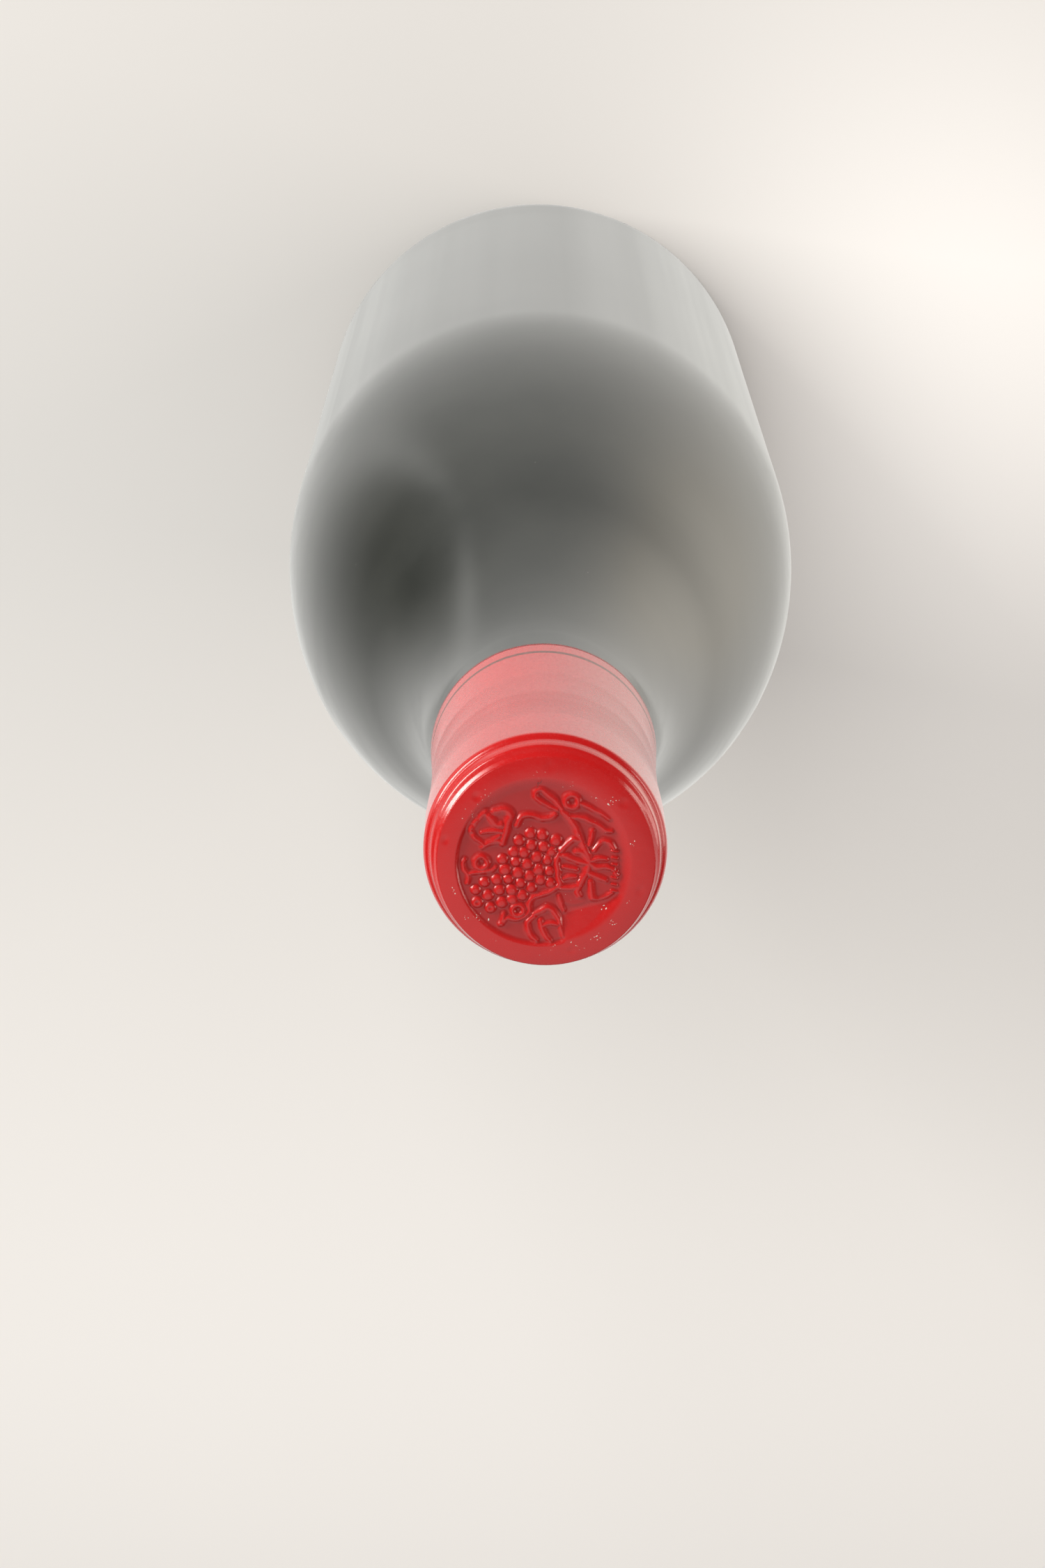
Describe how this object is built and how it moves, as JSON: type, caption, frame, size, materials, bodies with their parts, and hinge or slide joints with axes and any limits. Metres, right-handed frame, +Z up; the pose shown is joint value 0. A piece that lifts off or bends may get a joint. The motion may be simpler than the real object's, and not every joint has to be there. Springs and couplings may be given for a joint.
{
  "type": "wine bottle",
  "caption": "Full, shut wine bottle with sloping shoulders, dark green glass, deep punt and a red foil capsule pressed with a grape and vine-leaf medallion.",
  "frame": {"origin": "middle of the standing ring, on the surface that the bottle stands on", "axes": "+Z up along the bottle's axis, from base to foil; +Y is the side that the pressed picture's top points to"},
  "size_m": [0.0816, 0.0816, 0.296],
  "materials": {
    "dark_glass": "glossy, nearly black green glass that can't be seen through when full",
    "red_lacquered_foil": "glossy red lacquer on thin spun metal, with small scuffs and chips"
  },
  "bodies": {
    "root": {"bottle": "dark_glass", "foil": "red_lacquered_foil"}
  },
  "joints": []
}
